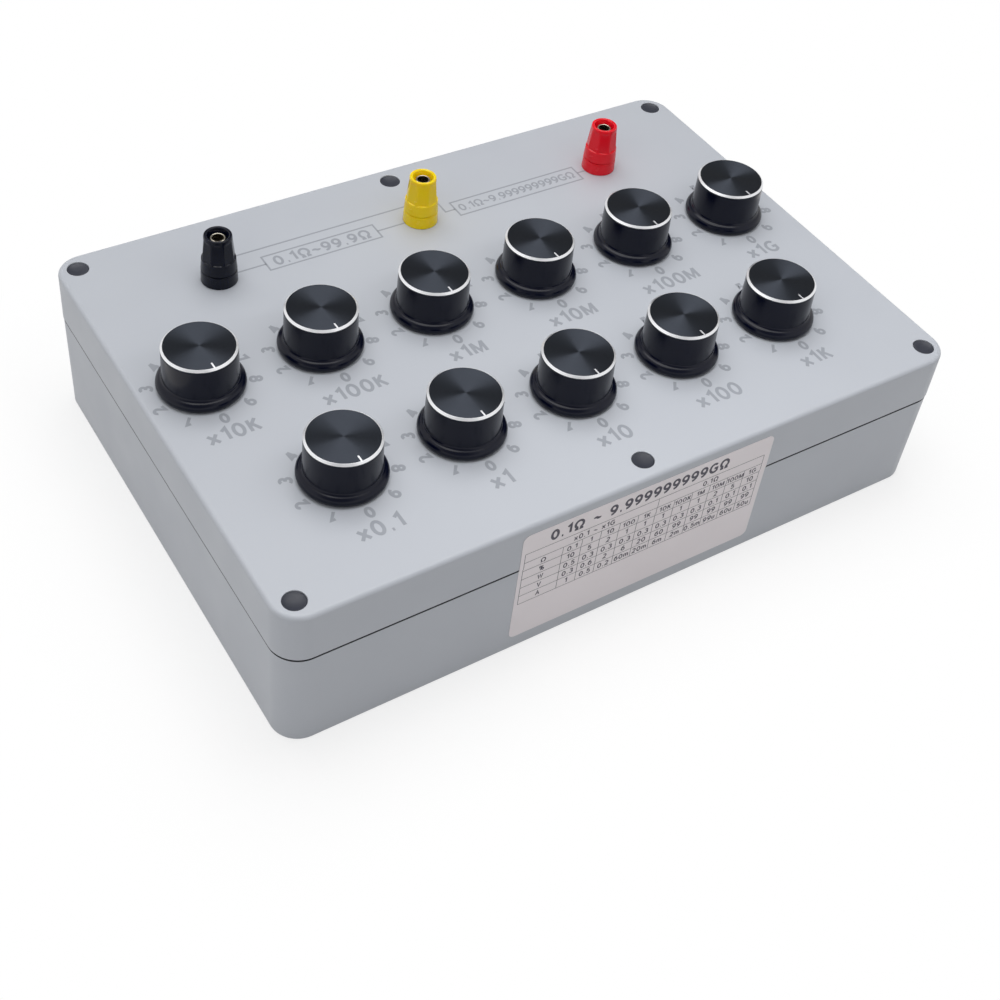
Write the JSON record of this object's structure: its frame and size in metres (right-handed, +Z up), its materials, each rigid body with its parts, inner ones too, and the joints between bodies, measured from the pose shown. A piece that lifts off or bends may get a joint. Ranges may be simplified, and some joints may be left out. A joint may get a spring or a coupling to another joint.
{
  "type": "decade resistance box",
  "caption": "Bench decade resistance box: flat grey moulded case with rows of turning decade knobs on top and colour-coded screw binding posts with plug sockets.",
  "frame": {"origin": "centre of the base's flat underside", "axes": "+X along the long side, to the right of a user at the label side; +Y to the rear, where the posts are; +Z up"},
  "size_m": [0.263, 0.1822, 0.0795],
  "materials": {
    "case_abs": "fine satin moulding",
    "seal_rubber": "matte cord",
    "screw_steel": "zinc plated",
    "plug_plastic": "soft dark moulding",
    "label_film": "printed silver-grey film",
    "knob_plastic": "satin black moulding",
    "spun_disc": "black anodised, turned, bright cut rim",
    "spindle_metal": "turned",
    "zinc": "zinc plated",
    "phenolic": "moulded phenolic",
    "wafer_laminate": "punched paper laminate",
    "tinned_brass": "tinned",
    "nickel": "nickel plated",
    "resistor_lacquer": "lacquered",
    "wire_pvc": "extruded PVC",
    "nylon": "moulded",
    "post_black": "moulded",
    "post_yellow": "moulded",
    "post_red": "moulded",
    "brass": "turned"
  },
  "bodies": {
    "case": {"base_shell": "case_abs", "lid_shell": "case_abs", "seam_seal": "seal_rubber", "lid_screws": "screw_steel", "screw_plugs": "plug_plastic", "front_label": "label_film", "switch_plates": "zinc", "switch_bodies": "phenolic", "switch_wafers": "wafer_laminate", "switch_lugs": "tinned_brass", "lock_washers": "zinc", "panel_nuts": "nickel", "decade_resistors": "resistor_lacquer", "hookup_wires": "wire_pvc", "post_collar_black": "post_black", "post_collar_yellow": "post_yellow", "post_collar_red": "post_red", "post_studs": "nickel", "post_insulators": "nylon", "post_tags": "tinned_brass", "post_nuts": "nickel"},
    "dial_0r1": {"knob_0r1": "knob_plastic", "knob_disc_0r1": "spun_disc", "spindle_0r1": "spindle_metal"},
    "dial_1r": {"knob_1r": "knob_plastic", "knob_disc_1r": "spun_disc", "spindle_1r": "spindle_metal"},
    "dial_10r": {"knob_10r": "knob_plastic", "knob_disc_10r": "spun_disc", "spindle_10r": "spindle_metal"},
    "dial_100r": {"knob_100r": "knob_plastic", "knob_disc_100r": "spun_disc", "spindle_100r": "spindle_metal"},
    "dial_1k": {"knob_1k": "knob_plastic", "knob_disc_1k": "spun_disc", "spindle_1k": "spindle_metal"},
    "dial_10k": {"knob_10k": "knob_plastic", "knob_disc_10k": "spun_disc", "spindle_10k": "spindle_metal"},
    "dial_100k": {"knob_100k": "knob_plastic", "knob_disc_100k": "spun_disc", "spindle_100k": "spindle_metal"},
    "dial_1m": {"knob_1m": "knob_plastic", "knob_disc_1m": "spun_disc", "spindle_1m": "spindle_metal"},
    "dial_10m": {"knob_10m": "knob_plastic", "knob_disc_10m": "spun_disc", "spindle_10m": "spindle_metal"},
    "dial_100m": {"knob_100m": "knob_plastic", "knob_disc_100m": "spun_disc", "spindle_100m": "spindle_metal"},
    "dial_1g": {"knob_1g": "knob_plastic", "knob_disc_1g": "spun_disc", "spindle_1g": "spindle_metal"},
    "bush_black": {"post_bush_black": "brass"},
    "cap_black": {"post_cap_black": "post_black"},
    "bush_yellow": {"post_bush_yellow": "brass"},
    "cap_yellow": {"post_cap_yellow": "post_yellow"},
    "bush_red": {"post_bush_red": "brass"},
    "cap_red": {"post_cap_red": "post_red"}
  },
  "joints": [
    {"name": "turn_0r1", "type": "hinge", "parent": "case", "child": "dial_0r1", "pos_m": [-0.0886, -0.0455, 0.06], "axis": [0, 0, -1], "range_deg": [0, 324]},
    {"name": "turn_1r", "type": "hinge", "parent": "case", "child": "dial_1r", "pos_m": [-0.0453, -0.0455, 0.06], "axis": [0, 0, -1], "range_deg": [0, 324]},
    {"name": "turn_10r", "type": "hinge", "parent": "case", "child": "dial_10r", "pos_m": [-0.002, -0.0455, 0.06], "axis": [0, 0, -1], "range_deg": [0, 324]},
    {"name": "turn_100r", "type": "hinge", "parent": "case", "child": "dial_100r", "pos_m": [0.0413, -0.0455, 0.06], "axis": [0, 0, -1], "range_deg": [0, 324]},
    {"name": "turn_1k", "type": "hinge", "parent": "case", "child": "dial_1k", "pos_m": [0.0846, -0.0455, 0.06], "axis": [0, 0, -1], "range_deg": [0, 324]},
    {"name": "turn_10k", "type": "hinge", "parent": "case", "child": "dial_10k", "pos_m": [-0.11025, 0.011, 0.06], "axis": [0, 0, -1], "range_deg": [0, 324]},
    {"name": "turn_100k", "type": "hinge", "parent": "case", "child": "dial_100k", "pos_m": [-0.06695, 0.011, 0.06], "axis": [0, 0, -1], "range_deg": [0, 324]},
    {"name": "turn_1m", "type": "hinge", "parent": "case", "child": "dial_1m", "pos_m": [-0.02365, 0.011, 0.06], "axis": [0, 0, -1], "range_deg": [0, 324]},
    {"name": "turn_10m", "type": "hinge", "parent": "case", "child": "dial_10m", "pos_m": [0.01965, 0.011, 0.06], "axis": [0, 0, -1], "range_deg": [0, 324]},
    {"name": "turn_100m", "type": "hinge", "parent": "case", "child": "dial_100m", "pos_m": [0.06295, 0.011, 0.06], "axis": [0, 0, -1], "range_deg": [0, 324]},
    {"name": "turn_1g", "type": "hinge", "parent": "case", "child": "dial_1g", "pos_m": [0.10625, 0.011, 0.06], "axis": [0, 0, -1], "range_deg": [0, 324]},
    {"name": "lift_black", "type": "slide", "parent": "case", "child": "bush_black", "axis": [0, 0, 1], "range_m": [0, 0.004]},
    {"name": "unscrew_black", "type": "hinge", "parent": "bush_black", "child": "cap_black", "pos_m": [-0.0825, 0.0575, 0.06], "axis": [0, 0, 1], "range_deg": [0, 1800]},
    {"name": "lift_yellow", "type": "slide", "parent": "case", "child": "bush_yellow", "axis": [0, 0, 1], "range_m": [0, 0.004]},
    {"name": "unscrew_yellow", "type": "hinge", "parent": "bush_yellow", "child": "cap_yellow", "pos_m": [-0.0015, 0.0575, 0.06], "axis": [0, 0, 1], "range_deg": [0, 1800]},
    {"name": "lift_red", "type": "slide", "parent": "case", "child": "bush_red", "axis": [0, 0, 1], "range_m": [0, 0.004]},
    {"name": "unscrew_red", "type": "hinge", "parent": "bush_red", "child": "cap_red", "pos_m": [0.0795, 0.0575, 0.06], "axis": [0, 0, 1], "range_deg": [0, 1800]}
  ],
  "couplings": [
    {"joint": "unscrew_black", "follows": "lift_black", "rad_per_m": 7853.9},
    {"joint": "unscrew_yellow", "follows": "lift_yellow", "rad_per_m": 7853.9},
    {"joint": "unscrew_red", "follows": "lift_red", "rad_per_m": 7853.9}
  ]
}
